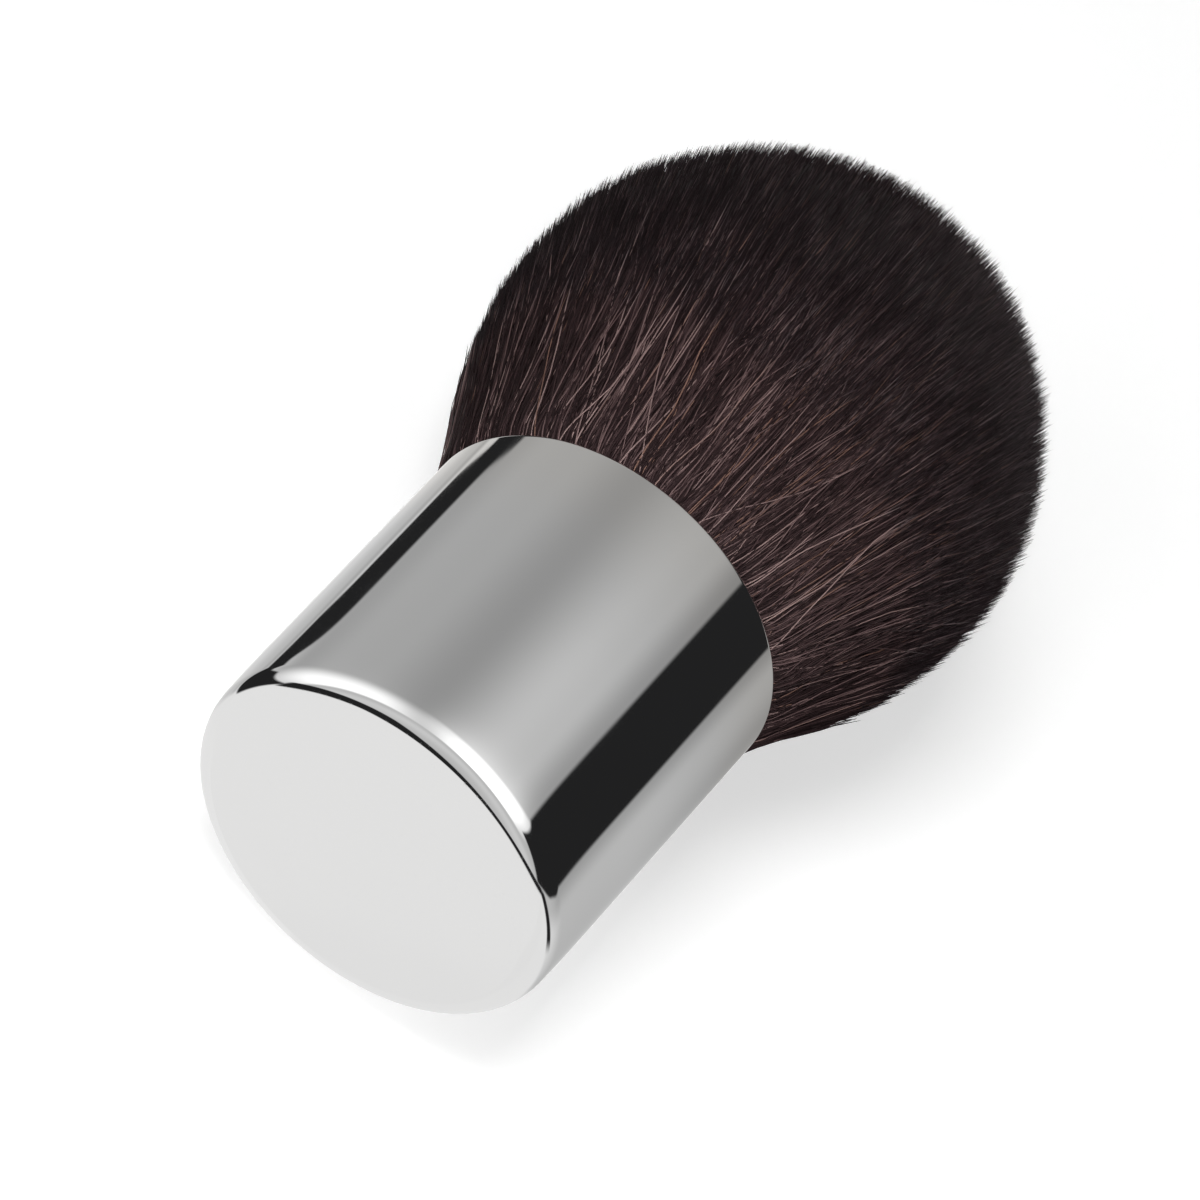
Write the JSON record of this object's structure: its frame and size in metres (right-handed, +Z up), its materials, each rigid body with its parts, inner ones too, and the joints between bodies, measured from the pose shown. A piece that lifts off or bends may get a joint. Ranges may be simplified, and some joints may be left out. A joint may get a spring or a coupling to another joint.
{
  "type": "kabuki makeup brush",
  "caption": "Short stubby makeup brush: a polished metal cup handle that stands on its flat base and holds a full domed head of dark hair.",
  "frame": {"origin": "middle of the flat base that the brush stands on", "axes": "+Z up the brush's axis, from the base to the tip of the hair; X and Y are free, because the brush is round"},
  "size_m": [0.0487, 0.0486, 0.0839],
  "materials": {
    "handle_chrome": "polished",
    "pad_foam": "matte",
    "ballast_steel": "satin",
    "insert_plastic": "matte",
    "ferrule_aluminium": "satin",
    "set_glue": "satin",
    "set_resin": "gloss",
    "waxed_thread": "matte",
    "brush_hair": "satin"
  },
  "bodies": {
    "root": {"handle_shell": "handle_chrome", "ballast_pad": "pad_foam", "ballast_weight": "ballast_steel", "core_insert": "insert_plastic", "inner_ferrule": "ferrule_aluminium", "ferrule_glue": "set_glue", "root_resin": "set_resin", "binding_thread": "waxed_thread", "hair_knot": "brush_hair"}
  },
  "joints": []
}
